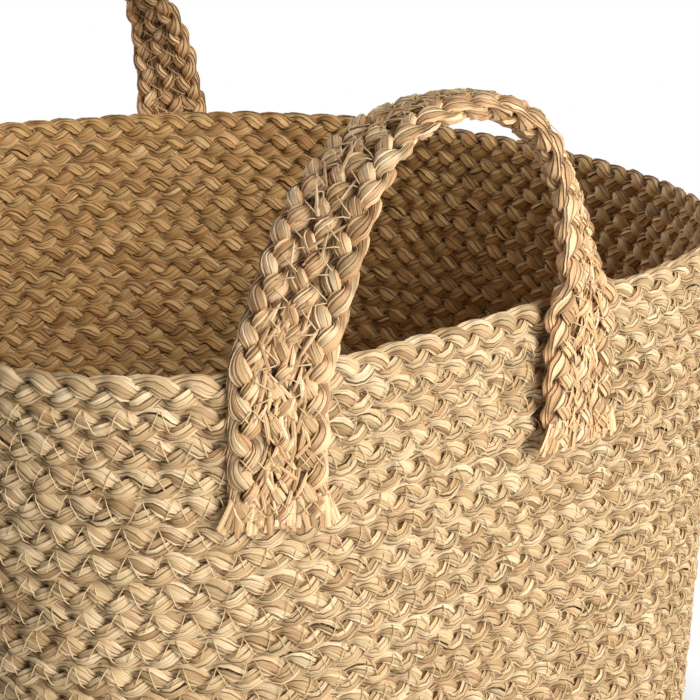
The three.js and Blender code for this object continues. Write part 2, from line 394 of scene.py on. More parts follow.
class Maker:
    """Adds nodes to one tree. A socket is named by its label or its place."""

    def __init__(self, tree):
        self.tree = tree

    def add(self, kind, settings=None, sockets=None, out=None):
        node = self.tree.nodes.new(kind)
        for name, value in (settings or {}).items():
            if name == "stops":
                self.set_stops(node.color_ramp, value)
            else:
                setattr(node, name, value)
        for key, value in (sockets or {}).items():
            self.feed(self.find(node.inputs, key), value)
        if out == "node":
            return node
        if out is None:
            return Term(self, next(socket for socket in node.outputs if socket.enabled))
        return Term(self, self.find(node.outputs, out))

    def find(self, sockets, key):
        if isinstance(key, int):
            return sockets[key]
        return next(socket for socket in sockets if socket.name == key and socket.enabled)

    def feed(self, socket, value):
        if isinstance(value, Term):
            self.tree.links.new(value.socket, socket)
        else:
            socket.default_value = value

    def set_stops(self, ramp, stops):
        while len(ramp.elements) > 1:
            ramp.elements.remove(ramp.elements[-1])
        ramp.elements[0].position, ramp.elements[0].color = stops[0]
        for place, colour in stops[1:]:
            ramp.elements.new(place).color = colour

    def math(self, operation, *values):
        return self.add("ShaderNodeMath", {"operation": operation}, dict(enumerate(values)))

    def number(self, value):
        return self.math("ADD", value, 0.0)

    def sine(self, angle):
        return self.math("SINE", angle)

    def cosine(self, angle):
        return self.math("COSINE", angle)

    def floor(self, value):
        return self.math("FLOOR", value)

    def clamp(self, value, low=0.0, high=1.0):
        return self.add("ShaderNodeClamp", {}, {0: value, 1: low, 2: high})

    def vector(self, x, y, z):
        return self.add("ShaderNodeCombineXYZ", {}, {0: x, 1: y, 2: z})

    def parts(self, value, kind="ShaderNodeSeparateXYZ"):
        """The three numbers of a vector or a colour."""
        return [Term(self, socket) for socket in self.add(kind, {}, {0: value}, "node").outputs]

    def noise(self, vector, detail=0.0, scale=1.0):
        sockets = {"Vector": vector, "Scale": scale, "Detail": detail}
        return self.add("ShaderNodeTexNoise", {"noise_dimensions": "3D"}, sockets, "Fac")

    def wobble(self, x, y, z):
        """Smooth noise about 0 at that place."""
        return self.noise(self.vector(x, y, z)) - 0.5

    def mix(self, factor, a, b, blend="MIX"):
        settings = {"data_type": "RGBA", "blend_type": blend}
        return self.add("ShaderNodeMix", settings, {"Factor": factor, "A": a, "B": b})

    def ramp(self, factor, stops):
        return self.add("ShaderNodeValToRGB", {"stops": stops}, {"Fac": factor}, "Color")

    def attribute(self, word, kind):
        return self.add("GeometryNodeInputNamedAttribute", {"data_type": kind}, {"Name": word}, "Attribute")

    def stored(self, geometry, word, value, kind="FLOAT2", domain="CORNER"):
        sockets = {"Geometry": geometry, "Name": word, "Value": value}
        return self.add("GeometryNodeStoreNamedAttribute", {"data_type": kind, "domain": domain}, sockets)


SOCKET_KINDS = {int: "Int", float: "Float"}


def new_tree(name, inputs):
    """A geometry tree and its maker. Each input is given by its default, or by its kind if it has none."""
    tree = bpy.data.node_groups.new(name, "GeometryNodeTree")
    tree.interface.new_socket("Guide", in_out="INPUT", socket_type="NodeSocketGeometry")
    for label, default in inputs.items():
        kind = SOCKET_KINDS.get(type(default), default)
        socket = tree.interface.new_socket(label, in_out="INPUT", socket_type=f"NodeSocket{kind}")
        if kind != default:
            socket.default_value = default
    tree.interface.new_socket("Geometry", in_out="OUTPUT", socket_type="NodeSocketGeometry")
    maker = Maker(tree)
    entry = tree.nodes.new("NodeGroupInput")
    given = {socket.name: Term(maker, socket) for socket in entry.outputs if socket.name}
    return tree, maker, given


def finish_tree(tree, maker, geometry, material):
    """Ends a tree in Realize Instances and Set Material."""
    real = maker.add("GeometryNodeRealizeInstances", {}, {"Geometry": geometry})
    dressed = maker.add("GeometryNodeSetMaterial", {}, {"Geometry": real, "Material": material})
    leave = tree.nodes.new("NodeGroupOutput")
    tree.links.new(dressed.socket, leave.inputs[0])


def sampled_guide(maker, guide, length):
    """The guide's position, side, face and girth at a length along it."""
    curve = maker.add("GeometryNodeMeshToCurve", {}, {"Mesh": guide})
    sockets = {"Curves": curve, "Length": length}
    place = maker.add("GeometryNodeSampleCurve", {"mode": "LENGTH"}, sockets, "Position")
    samples = []
    for word, kind in GUIDE_WORDS:
        settings = {"data_type": kind, "mode": "LENGTH"}
        sockets["Value"] = maker.attribute(word, kind)
        samples.append(maker.add("GeometryNodeSampleCurve", settings, sockets, "Value"))
    return place, *samples


STRANDS = 3
STRANDS_APART = 40.0  # how far apart the strands' blades are numbered in "blade run"
FIRST_CELL = 400.0  # where the numbers of a strand's stretches between crossings start in "blade run"
LOW_EDGE_SHARE = 0.2  # the part of a blade's width over which it rises from under the last one
WELD_REACH = 1e-7
PLAIT_INPUTS = {
    "Start": 0.0,
    "End": 1.0,
    "Ring Step": 0.0024,
    "Blades": 8,
    "Repeat": 0.0396,
    "Phase": 0.0,
    "Reach": 0.0030,
    "Lift": 0.0018,
    "Strand Half Width": 0.0030,
    "Strand Half Thickness": 0.0019,
    "Groove Share": 0.16,
    "Unevenness Share": 0.16,
    "Roll": 0.5,
    "Blade Drift": 0.9,
    "Fold Share": 0.09,
    "End Draw In": 0.36,
    "Twist per Metre": 30.0,
    "Seed": 0.0,
    "Material": "Material",
}


def plait_tree():
    """A flat plait of three strands along the guide. Each strand is a bundle of overlapping blades."""
    tree, m, given = new_tree("plait of leaf strands", PLAIT_INPUTS)
    start, repeat, lift = given["Start"], given["Repeat"], given["Lift"]
    uneven, fold = given["Unevenness Share"], given["Fold Share"]
    span = given["End"] - start
    steps = m.math("CEIL", span / given["Ring Step"])
    step = span / steps
    rings = steps + 3.0
    columns = given["Blades"] * 2.0
    strands = []
    for number in range(STRANDS):
        size = {"Size X": 1.0, "Size Y": 1.0, "Vertices X": columns + 1.0, "Vertices Y": rings}
        grid = m.add("GeometryNodeMeshGrid", {}, size, "Mesh")
        x, y, _ = m.parts(m.add("GeometryNodeInputPosition"))
        column = m.math("ROUND", (x + 0.5) * columns)
        ring = m.math("ROUND", (y + 0.5) * (rings - 1.0))
        # The first and the last ring shrink to a point, which closes the strand's ends.
        inner = m.clamp(ring - 1.0, 0.0, steps)
        body = m.math("COMPARE", inner, ring - 1.0, 0.1)
        run = start + inner * step
        turn = run / repeat + given["Phase"] + number / STRANDS
        angle = turn * math.tau

        own = given["Seed"] + 17.3 * number
        wander = m.wobble(run * 55.0, own, 3.7)
        swell = m.wobble(run * 70.0, own, 9.1)
        tip = m.wobble(run * 60.0, own, 14.9)

        # The strand's middle swings from edge to edge, and rises and dips twice as often.
        reach = given["Reach"] * (1.0 + wander * uneven * 2.0)
        rate = math.tau / repeat
        across = -reach * (m.cosine(angle) + fold * m.cosine(angle * 3.0)) / (1.0 + fold)
        height = lift * m.sine(angle * 2.0)
        slope = reach * rate * (m.sine(angle) + fold * 3.0 * m.sine(angle * 3.0)) / (1.0 + fold)
        climb = lift * m.cosine(angle * 2.0) * rate * 2.0
        flat = m.math("SQRT", slope * slope + 1.0)
        full = m.math("SQRT", (slope * slope + 1.0) + climb * climb)
        wide = m.vector(-slope / flat, 1.0 / flat, 0.0)
        thick = m.vector(-climb, -slope * climb, slope * slope + 1.0) * (1.0 / (flat * full))
        roll = given["Roll"] * m.sine(angle * 2.0) * m.cosine(angle) * 1.3 + tip * uneven * 3.0
        wide_rolled = wide * m.cosine(roll) + thick * m.sine(roll)
        thick_rolled = thick * m.cosine(roll) - wide * m.sine(roll)

        # A bundle is widest midway between its fold and the plait's middle, and narrow at both.
        belly = m.sine(angle * 2.0) * m.sine(angle * 2.0)
        narrow = 1.0 - (1.0 - belly) * given["End Draw In"]
        half_width = given["Strand Half Width"] * narrow * (1.0 + swell * uneven * 2.5)
        half_thickness = given["Strand Half Thickness"] * (0.88 + belly * 0.2)
        half_thickness = half_thickness * (1.0 + tip * uneven * 2.0)

        # Round the bundle each blade rises from its low edge, under the last one, to its high edge.
        pair = m.floor(column / 2.0)
        low = m.math("COMPARE", column, pair * 2.0, 0.1)
        drift = m.wobble(pair * 5.7, run * 45.0, own)
        around = (pair + (1.0 - low) * LOW_EDGE_SHARE + drift * given["Blade Drift"]) / given["Blades"]
        spin = around * math.tau + run * given["Twist per Metre"] + wander * 1.4 + own
        rough = m.wobble(pair * 3.1 + own, run * 60.0, 5.0)
        size = (1.0 - low * given["Groove Share"]) * (1.0 + rough * uneven * 1.6)
        size = size * body
        section = wide_rolled * (half_width * m.cosine(spin) * size)
        section = section + thick_rolled * (half_thickness * m.sine(spin) * size)

        place, side, face, girth = sampled_guide(m, given["Guide"], run)
        u, v, w = m.parts(section)
        spot = place + side.cross(face) * (u * girth)
        spot = spot + side * ((v + across) * girth) + face * ((w + height) * girth)

        # The run is stored first, while a vertex still has its place in the grid.
        cell = (turn - 0.25) * 2.0 + FIRST_CELL + given["Seed"]
        blade = (pair + (1.0 - low) * LOW_EDGE_SHARE) + STRANDS_APART * number
        marked = m.stored(grid, "blade run", m.vector(blade, cell, 0.0))
        strands.append(m.add("GeometryNodeSetPosition", {}, {"Geometry": marked, "Position": spot}))
    joined = tree.nodes.new("GeometryNodeJoinGeometry")
    for strand in strands:
        tree.links.new(strand.socket, joined.inputs[0])
    sockets = {"Geometry": Term(m, joined.outputs[0]), "Distance": WELD_REACH}
    finish_tree(tree, m, m.add("GeometryNodeMergeByDistance", {}, sockets), given["Material"])
    return tree


def grown(name, guide, tree, values):
    """Runs a tree on a guide and returns the result as a plain mesh object."""
    source = guide_object(name, guide)
    modifier = source.modifiers.new("growth", "NODES")
    modifier.node_group = tree
    for item in tree.interface.items_tree:
        if item.in_out == "INPUT" and item.name in values:
            modifier[item.identifier] = values[item.name]
    source.update_tag()
    graph = bpy.context.evaluated_depsgraph_get()
    mesh = bpy.data.meshes.new_from_object(source.evaluated_get(graph), depsgraph=graph)
    mesh.name = name
    source.modifiers.remove(modifier)
    discard(source)
    return new_object(name, mesh)


def read_all(items, field, kind=np.int32, width=1):
    """One field of every item of a mesh, as one flat array."""
    values = np.zeros(len(items) * width, kind)
    items.foreach_get(field, values)
    return values


def sharpen_blades(mesh):
    """Keeps each blade's long edges crisp: an edge whose ends share their place round the strand."""
    around = read_all(mesh.attributes["blade run"].data, "vector", np.float32, 2)[::2]
    starts = read_all(mesh.polygons, "loop_start")
    edges = read_all(mesh.loops, "edge_index")
    following = np.arange(len(mesh.loops)) + 1
    following[starts + read_all(mesh.polygons, "loop_total") - 1] = starts
    long_edge = np.abs(around - around[following]) < 0.01
    sharp = np.zeros(len(mesh.edges), bool)
    sharp[edges[long_edge]] = True
    attribute = mesh.attributes.get("sharp_edge") or mesh.attributes.new("sharp_edge", "BOOLEAN", "EDGE")
    attribute.data.foreach_set("value", sharp)
    mesh.polygons.foreach_set("use_smooth", np.ones(len(mesh.polygons), bool))
    mesh.update()


def press_to_floor(mesh):
    """Flattens what would reach under the floor, as the basket's weight does."""
    spots = read_all(mesh.vertices, "co", np.float32, 3)
    heights = spots[2::3]
    pressed = PRESS_HEIGHT * np.exp(np.minimum(heights / PRESS_HEIGHT - 1, 0))
    spots[2::3] = np.where(heights < PRESS_HEIGHT, pressed, heights)
    mesh.vertices.foreach_set("co", spots)
    mesh.update()


REPEAT_INPUTS = {
    "Start": 0.0,
    "End": 1.0,
    "Spacing": 0.012,
    "Spacing Jitter": 0.0008,
    "Across": 0.0,
    "Across Jitter": 0.0004,
    "Above": 0.0,
    "Above Jitter": 0.0002,
    "Turn": 0.0,
    "Turn Jitter": 0.1,
    "Tip Jitter": 0.0,
    "Size Jitter": 0.08,
    "Seed": 1,
    "Sample": "Object",
    "Material": "Material",
}


def repeat_tree():
    """Copies of one small sample at even steps along the guide, each a little off its place."""
    tree, m, given = new_tree("repeats along a guide", REPEAT_INPUTS)
    index = m.add("GeometryNodeInputIndex")

    def jitter(label, salt):
        sockets = {"Min": -1.0, "Max": 1.0, "ID": index, "Seed": given["Seed"] + salt}
        chance = m.add("FunctionNodeRandomValue", {"data_type": "FLOAT"}, sockets, "Value")
        return chance * given[label + " Jitter"]

    span = given["End"] - given["Start"]
    count = m.floor(span / given["Spacing"])
    sockets = {"Count": count, "Position": (0, 0, 0), "Radius": 0.001}
    points = m.add("GeometryNodePoints", {}, sockets, "Points")
    run = given["Start"] + (index + 0.5) * (span / count) + jitter("Spacing", 1.0)
    place, side, face, _ = sampled_guide(m, given["Guide"], run)
    along = side.cross(face)
    across = given["Across"] + jitter("Across", 2.0)
    above = given["Above"] + jitter("Above", 3.0)
    spot = place + side * across + face * above
    placed = m.add("GeometryNodeSetPosition", {}, {"Geometry": points, "Position": spot})
    turn = given["Turn"] + jitter("Turn", 4.0)
    tip = jitter("Tip", 5.0)
    forward = along * m.cosine(turn) + side * m.sine(turn)
    aside = side * m.cosine(turn) - along * m.sine(turn)
    forward = forward * m.cosine(tip) + face * m.sine(tip)
    axes = {"primary_axis": "X", "secondary_axis": "Y"}
    sockets = {"Primary Axis": forward, "Secondary Axis": aside}
    rotation = m.add("FunctionNodeAxesToRotation", axes, sockets)
    settings = {"transform_space": "ORIGINAL"}
    sample = m.add("GeometryNodeObjectInfo", settings, {"Object": given["Sample"]}, "Geometry")
    size = 1.0 + jitter("Size", 6.0)
    sockets = {"Points": placed, "Instance": sample, "Rotation": rotation}
    sockets["Scale"] = m.vector(size, size, size)
    copies = m.add("GeometryNodeInstanceOnPoints", {}, sockets)
    # Each copy's blades are numbered apart, so that each has its own tone.
    numbered = m.stored(copies, "copy", index, "FLOAT", "INSTANCE")
    real = m.add("GeometryNodeRealizeInstances", {}, {"Geometry": numbered})
    step = m.vector(m.attribute("copy", "FLOAT") * 3.0, 0.0, 0.0)
    marked = m.stored(real, "blade run", m.attribute("blade run", "FLOAT_VECTOR") + step)
    finish_tree(tree, m, marked, given["Material"])
    return tree


def lofted(name, lines, sections, smooth=True, spread=0.25):
    """One mesh of closed tubes. Each line is its points, and each section its ring of offsets.

    spread is how far each tube's finish runs towards its blade's edges, where the finish paints shade.
    """
    points, faces, places = [], [], []
    for line, section in zip(lines, sections):
        line = np.array(line, float)
        along = unit(np.gradient(line, axis=0))
        aside = unit(np.cross(UP, along) + 1e-9)
        above = np.cross(along, aside)
        count = len(section[0])
        first = len(points)
        for step, (spot, a, b, ring) in enumerate(zip(line, aside, above, section)):
            points += [tuple(spot + a * x + b * y) for x, y in ring]
            widest = max(abs(x) for x, _ in ring)
            places += [(0.5 + spread * x / widest, 0.62 + 0.05 * step) for x, _ in ring]
        for r in range(len(line) - 1):
            for k in range(count):
                one, two = first + r * count + k, first + r * count + (k + 1) % count
                faces.append((one, two, two + count, one + count))
        faces.append(tuple(reversed(range(first, first + count))))
        faces.append(tuple(range(len(points) - count, len(points))))
    thing = mesh_object(name, points, [], faces)
    mesh = thing.data
    mesh.polygons.foreach_set("use_smooth", np.full(len(faces), smooth))
    corners = np.array([places[vertex] for face in faces for vertex in face], np.float32)
    mesh.attributes.new("blade run", "FLOAT2", "CORNER").data.foreach_set("vector", corners.ravel())
    return thing


def thread_sample(legs, radius, sides=4):
    """Straight thread legs, each given by its corners."""
    turns = [math.tau * k / sides for k in range(sides)]
    ring = [(radius * math.cos(turn), radius * math.sin(turn)) for turn in turns]
    return lofted("stitch", legs, [[ring] * len(leg) for leg in legs])


def blade_sample(name, length, width, droop, taper=1.0, tucked=False):
    """One loose leaf blade, thin and a little bent. Its tip is pointed at a taper of 1, and blunt below.

    A tucked one is pointed and bent down at both ends, and its finish runs closer to the edges where it
    paints shade.
    """
    steps = 6 if tucked else 5
    line, section = [], []
    for step in range(steps + 1):
        t = step / steps
        away = abs(2 * t - 1) if tucked else t
        half = width / 2 * (1 - taper * away**3) + width * 0.03
        thin = width * 0.06 * (1 - away * 0.6)
        line.append((length * (t - 0.5 * tucked), 0.0, -droop * away * away))
        section.append([(-half, 0.0), (0.0, half * 0.2 - thin), (half, 0.0), (0.0, half * 0.2 + thin)])
    return lofted(name, [line], [section], smooth=False, spread=0.42 if tucked else 0.25)


# Finishes.


def new_material(name):
    material = bpy.data.materials.new(name)
    material.use_nodes = True
    tree = material.node_tree
    tree.nodes.clear()
    return material, Maker(tree)


def end_material(material, maker, surface):
    maker.add("ShaderNodeOutputMaterial", {}, {"Surface": surface}, "node")
    return material


STRAW_TONES = [
    (0.15, (0.36, 0.215, 0.095, 1)),
    (0.36, (0.56, 0.37, 0.185, 1)),
    (0.52, (0.70, 0.50, 0.27, 1)),
    (0.70, (0.78, 0.58, 0.345, 1)),
    (0.88, (0.84, 0.67, 0.44, 1)),
]
TAN_TONES = [(place, (min(r * 1.2, 0.93), g * 1.1, b * 1.06, 1)) for place, (r, g, b, _) in STRAW_TONES]
RUSTY_TONE = (0.62, 0.33, 0.17, 1)
GREENISH_TONE = (0.44, 0.40, 0.24, 1)
# painted shade in the gaps between blades, in split blades, and in crevices where strands dive or fold
GAP_SHADE_TONE = (0.09, 0.048, 0.02, 1)
# painted shade that darkens and browns the basket's inner side
INNER_SHADE_TINT = (1.0, 0.835, 0.585, 1)
THREAD_TONE = (0.71, 0.535, 0.295, 1)
WHITE = (1, 1, 1, 1)
FIBRE_STOPS = [(0.32, (0.55, 0.52, 0.46, 1)), (0.52, WHITE)]
BLOTCH_STOPS = [(0.3, (0.8, 0.77, 0.72, 1)), (0.6, WHITE)]
GREENISH_SHARE = 0.14


def leaf_material(name, tones, warm_share, inner_shade_share, gaping):
    """Dried leaf: each blade has its own tone between its two crossings, with fine fibres along it.

    warm_share is how many of the blades turn rusty, inner_shade_share how strongly painted shade darkens the
    basket's inner side, and gaping how far the painted shade in the gaps between the blades opens.
    """
    material, m = new_material(name)
    blade, cell, _ = m.parts(m.add("ShaderNodeUVMap", {"uv_map": "blade run"}))
    which = m.vector(m.floor(blade), m.floor(cell), 0.5)
    chance = m.add("ShaderNodeTexWhiteNoise", {"noise_dimensions": "3D"}, {"Vector": which}, "Color")
    first, second, third = m.parts(chance, "ShaderNodeSeparateColor")
    bundle = m.noise(m.vector(cell * 0.35, m.floor(blade / STRANDS_APART) * 7.0, 2.0), 1.0)
    tone = m.ramp(first * 0.55 + bundle * 0.45, tones)

    fibres = m.noise(m.vector(blade * 5.0, cell * 1.1, 0.0), 3.0)
    hairs = m.noise(m.vector(blade * 14.0, cell * 2.0, 7.0), 2.0)
    blotches = m.noise(m.vector(blade * 0.8, cell * 3.0, 4.0), 2.0)
    plain_share = 1.0 - warm_share
    rusty = (second - plain_share) / warm_share * 0.35 * (second > plain_share)
    tone = m.mix(rusty, tone, RUSTY_TONE)
    tone = m.mix((third > 1.0 - GREENISH_SHARE) * 0.25, tone, GREENISH_TONE)
    tone = m.mix(0.75, tone, m.ramp(fibres, FIBRE_STOPS), "MULTIPLY")
    tone = m.mix(0.7, tone, m.ramp(blotches, BLOTCH_STOPS), "MULTIPLY")

    # The inner side faces the basket's middle line, and painted shade darkens and browns it.
    normal = m.add("ShaderNodeNewGeometry", {}, {}, "Normal")
    spot = m.add("ShaderNodeNewGeometry", {}, {}, "Position") * m.vector(1.0, 1.0, 0.0)
    towards = m.add("ShaderNodeVectorMath", {"operation": "DOT_PRODUCT"}, {0: normal, 1: spot}, "Value")
    tone = m.mix(m.clamp(towards * -9.0) * inner_shade_share, tone, INNER_SHADE_TINT, "MULTIPLY")

    # A bundle's blades lie close over its belly, and part towards its two ends.
    # Painted shade darkens the gaps along their edges.
    middle = m.math("ABSOLUTE", cell - m.floor(cell) - 0.5)
    ends = m.math("ABSOLUTE", middle * 4.0 - 1.0)
    place = blade - m.floor(blade)
    near_edge = m.math("MINIMUM", place, 1.0 - place)
    gape = m.noise(m.vector(m.floor(blade + 0.5) * 3.0, cell * 1.6, 11.0), 1.0)
    width = m.math("MAXIMUM", gape * 0.54 + (gaping * 0.1 - 0.17) + ends * 0.06, 0.03)
    line = m.clamp(1.0 - near_edge / width)
    open_share = m.clamp(gape * 6.0 + (gaping - 2.8) + ends * 0.9, 0.2, 1.0)
    tone = m.mix(line * open_share, tone, GAP_SHADE_TONE)

    # Some blades are split along their middle, with painted shade in the split.
    parting = m.noise(m.vector(m.floor(blade) * 5.1, cell * 1.3, 23.0), 1.0)
    aside = m.math("ABSOLUTE", place - 0.15 - parting * 0.9)
    split = m.clamp(1.0 - aside / 0.055) * m.clamp(second * 1.4 - 0.4, 0.0, 0.75)
    tone = m.mix(split, tone, GAP_SHADE_TONE)

    # Painted shade: a strand darkens where it dives under the next one,
    # and less where it folds at the plait's edge.
    dive_shade = m.clamp((middle + third * 0.07) * 14.0 - 6.5)
    fold = m.clamp(1.0 - middle * 9.0)
    tone = m.mix(dive_shade * 0.95 + fold * 0.35, tone, GAP_SHADE_TONE)

    height = fibres * 0.5 + hairs * 0.3 - line * 0.8 - split * 0.6
    bump = m.add("ShaderNodeBump", {}, {"Strength": 0.55, "Distance": 0.0003, "Height": height}, "Normal")
    sockets = {"Base Color": tone, "Roughness": 0.52 + hairs * 0.2 + line * 0.2, "Normal": bump}
    sockets["Specular IOR Level"] = 0.35
    return end_material(material, m, m.add("ShaderNodeBsdfPrincipled", {}, sockets, "BSDF"))


def thread_material(name, colour):
    """Pale twisted sewing thread."""
    material, m = new_material(name)
    place = m.add("ShaderNodeTexCoord", {}, {}, "Object")
    fuzz = m.noise(place, 2.0, 1500.0)
    tint = m.noise(place, 1.0, 60.0)
    tone = m.mix(tint * 0.5, colour, (colour[0] * 0.75, colour[1] * 0.68, colour[2] * 0.55, 1))
    bump = m.add("ShaderNodeBump", {}, {"Strength": 0.4, "Distance": 0.0002, "Height": fuzz}, "Normal")
    sockets = {"Base Color": tone, "Normal": bump, "Roughness": 0.5 + fuzz * 0.2}
    return end_material(material, m, m.add("ShaderNodeBsdfPrincipled", {}, sockets, "BSDF"))


FINISH_NAMES = {
    "body": "straw leaf of the body",
    "handle": "tan leaf of the handles",
    "thread": "cream sewing thread",
}


def finish_for(kind):
    """The finish of that kind, made once."""
    name = FINISH_NAMES[kind]
    if name in bpy.data.materials:
        return bpy.data.materials[name]
    if kind == "thread":
        return thread_material(name, THREAD_TONE)
    if kind == "body":
        return leaf_material(name, STRAW_TONES, warm_share=0.14, inner_shade_share=1.0, gaping=0.08)
    return leaf_material(name, TAN_TONES, warm_share=0.24, inner_shade_share=0.3, gaping=0.45)


# Pieces along a guide.


def tree_for(name, maker):
    return bpy.data.node_groups.get(name) or maker()


def plaited(name, guide, kind, values):
    """A plait along a guide, with crisp blades and its finish."""
    tree = tree_for("plait of leaf strands", plait_tree)
    thing = grown(name, guide, tree, {**values, "Material": finish_for(kind)})
    sharpen_blades(thing.data)
    press_to_floor(thing.data)
    return thing


def repeated(name, guide, sample, kind, values):
    """Copies of a sample along a guide, as one piece. The sample itself is removed."""
    tree = tree_for("repeats along a guide", repeat_tree)
    given = {"Start": 0.0, "End": guide_length(guide), "Sample": sample, "Material": finish_for(kind)}
    thing = grown(name, guide, tree, {**given, **values})
    discard(sample)
    return thing


# What a user can change.


SIZES = {
    "repeat": ("Repeat", "Length of plait in which a strand crosses over and back"),
    "reach": ("Reach", "How far a strand's middle swings to each side"),
    "lift": ("Lift", "How far a strand's middle rises and dips"),
    "strand_width": ("Strand width", "Width of one bundle of blades"),
    "strand_thickness": ("Strand thickness", "Thickness of one bundle of blades"),
    "stitch_length": ("Stitch length", "Length of one zigzag of the sewing thread"),
    "thread_width": ("Thread width", "Width of the sewing thread"),
}


def size_of(word, default):
    """A length that both kinds of plait have, with that default."""
    name, description = SIZES[word]
    return bpy.props.FloatProperty(name=name, description=description, default=default, unit="LENGTH")


def blade_count(default):
    description = "Leaf blades round one bundle"
    return bpy.props.IntProperty(name="Blades", description=description, default=default, min=4)


class BasketBodySettings(bpy.types.PropertyGroup):
    """Sizes of the body's plait."""

    repeat: size_of("repeat", 0.0396)
    reach: size_of("reach", 0.0041)
    lift: size_of("lift", 0.0017)
    strand_width: size_of("strand_width", 0.0082)
    strand_thickness: size_of("strand_thickness", 0.0043)
    blades: blade_count(8)
    lean: bpy.props.FloatProperty(
        name="Lean",
        description="How far each row's top stands out over the row above",
        default=0.05,
        unit="ROTATION",
    )
    stitch_length: size_of("stitch_length", 0.012)
    thread_width: size_of("thread_width", 0.00042)


class BasketHandleSettings(bpy.types.PropertyGroup):
    """Sizes of the handles' plaits."""

    repeat: size_of("repeat", 0.0372)
    reach: size_of("reach", 0.0040)
    lift: size_of("lift", 0.0023)
    strand_width: size_of("strand_width", 0.0085)
    strand_thickness: size_of("strand_thickness", 0.0043)
    blades: blade_count(8)
    stitch_length: size_of("stitch_length", 0.0097)
    thread_width: size_of("thread_width", 0.0005)


class BasketStageSettings(bpy.types.PropertyGroup):
    """The floor, the light and the camera."""

    floor_colour: bpy.props.FloatVectorProperty(
        name="Floor colour",
        description="Colour of the plain floor",
        default=(0.86, 0.86, 0.85),
        size=3,
        subtype="COLOR",
    )
    lens: bpy.props.FloatProperty(
        name="Lens", description="Focal length of the camera", default=128.6, unit="CAMERA"
    )


def plait_values(settings, guide, seed):
    """The plait tree's values for a whole guide."""
    return {
        "Start": 0.0,
        "End": guide_length(guide),
        "Repeat": settings.repeat,
        "Reach": settings.reach,
        "Lift": settings.lift,
        "Strand Half Width": settings.strand_width / 2,
        "Strand Half Thickness": settings.strand_thickness / 2,
        "Blades": settings.blades,
        "Seed": seed,
    }


def body_stitch(length, radius):
    """Two legs of the wall's zigzag, from a row's top edge down over its upper bundles and back."""
    top, bottom, high, low, deep = 0.0052, -0.0031, 0.0041, 0.0021, 0.0006
    fall = [(0.4625, top, low), (0.375, top - 0.002, high)]
    fall += [(0.225, bottom + 0.002, high), (0.1375, bottom, low)]
    leg = [(-share * length, height, lift) for share, height, lift in fall]
    leg.append((0.0, bottom, deep))
    leg += [(share * length, height, lift) for share, height, lift in reversed(fall)]
    return thread_sample([leg], radius)


class BASKET_OT_wall(bpy.types.Operator):
    """Winds the wall's plait up in rows, a few rows to a piece"""

    bl_idname = "basket.wall"
    bl_label = "Wall rows"

    def execute(self, context):
        settings = context.scene.basket_body
        guide, turns = winding_guide(settings.lean)
        values = plait_values(settings, guide, seed=3.0)
        runs = np.concatenate([[0], np.cumsum(guide_steps(guide))])
        cuts = np.interp(np.arange(0, ROW_COUNT + 1, ROWS_PER_PIECE), turns, runs)
        cuts[0], cuts[-1] = values["Start"], values["End"]
        for number, (start, end) in enumerate(zip(cuts, cuts[1:]), 1):
            values |= {"Start": float(start), "End": float(end)}
            piece = plaited(f"wall_rows_{number:02d}", guide, "body", values)
            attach(piece, "basket")
            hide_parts("wall_plait")
        # The thread is sewn up to the last groove, and parted halfway up to keep its pieces small.
        sewn = np.interp([CLIMB_SHARE, ROW_COUNT / 2, ROW_COUNT - 1], turns, runs)
        for number, (start, end) in enumerate(zip(sewn, sewn[1:]), 1):
            sample = body_stitch(settings.stitch_length, settings.thread_width / 2)
            values = {"Start": float(start), "End": float(end), "Seed": number}
            values["Spacing"] = settings.stitch_length
            piece = repeated(f"wall_thread_{number}", guide, sample, "thread", values)
            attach(piece, "basket")
        return {"FINISHED"}


BASE_CHANGES = {"Ring Step": 0.0042, "Blades": 6}


class BASKET_OT_base(bpy.types.Operator):
    """Lays the base's plait in a flat spiral"""

    bl_idname = "basket.base"
    bl_label = "Base spiral"

    def execute(self, context):
        guide = base_guide(ROW_PITCH)
        values = plait_values(context.scene.basket_body, guide, seed=41.0) | BASE_CHANGES
        piece = plaited("base_spiral", guide, "body", values)
        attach(piece, "basket")
        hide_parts("base_plait")
        return {"FINISHED"}


# How the handles' plaits differ from the body's, and the middle plait from its neighbours.
STRAP_CHANGES = {"Ring Step": 0.0014, "Twist per Metre": 20.0, "End Draw In": 0.46}
MIDDLE_CHANGES = {"Unevenness Share": 0.2, "Blades": 9, "Twist per Metre": 50.0, "Roll": 0.7}
PHASE_PER_PLAIT = 0.23

# Seam threads, loose fibres and loose blades along a strap, and what is sewn or frayed across its feet.
SEAM_BELOW_RIM = 0.01
SEAM_VALUES = {"Spacing Jitter": 0.0006, "Turn Jitter": 0.12}
FIBRES_FROM_END = 0.01
FIBRE_VALUES = {
    "Spacing": 0.0026,
    "Seed": 5,
    "Across Jitter": 0.006,
    "Above": 0.0041,
    "Above Jitter": 0.0006,
    "Turn Jitter": 0.9,
    "Tip Jitter": 0.14,
    "Size Jitter": 0.4,
}
LOOSE_BLADE_VALUES = {
    "Spacing": 0.0009,
    "Across Jitter": 0.0095,
    "Above": 0.0042,
    "Above Jitter": 0.0004,
    "Turn Jitter": 0.5,
    "Tip Jitter": 0.06,
    "Size Jitter": 0.35,
}
LOOSE_BLADES_FROM_END = 0.006  # from a strap's end to where they start
LOOSE_BLADES_ABOVE_RIM = 0.018
LOOSE_BLADES_OVER_FOOT = 0.012  # how much longer than a foot their stretch is
FOOT_STITCH_LENGTH = 0.0092
FOOT_STITCH_VALUES = {"Spacing": FOOT_STITCH_LENGTH, "Spacing Jitter": 0.0005, "Turn Jitter": 0.1}
CUT_END_DEPTH = FOOT_LENGTH - 0.0085
CUT_END_VALUES = {
    "Spacing": 0.00019,
    "Turn": -math.pi / 2,
    "Turn Jitter": 0.2,
    "Tip Jitter": 0.12,
    "Above Jitter": 0.0018,
    "Across Jitter": 0.0012,
    "Size Jitter": 0.12,
}


def bend(piece):
    """Bakes a strap's piece's transform into its mesh."""
    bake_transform(piece)


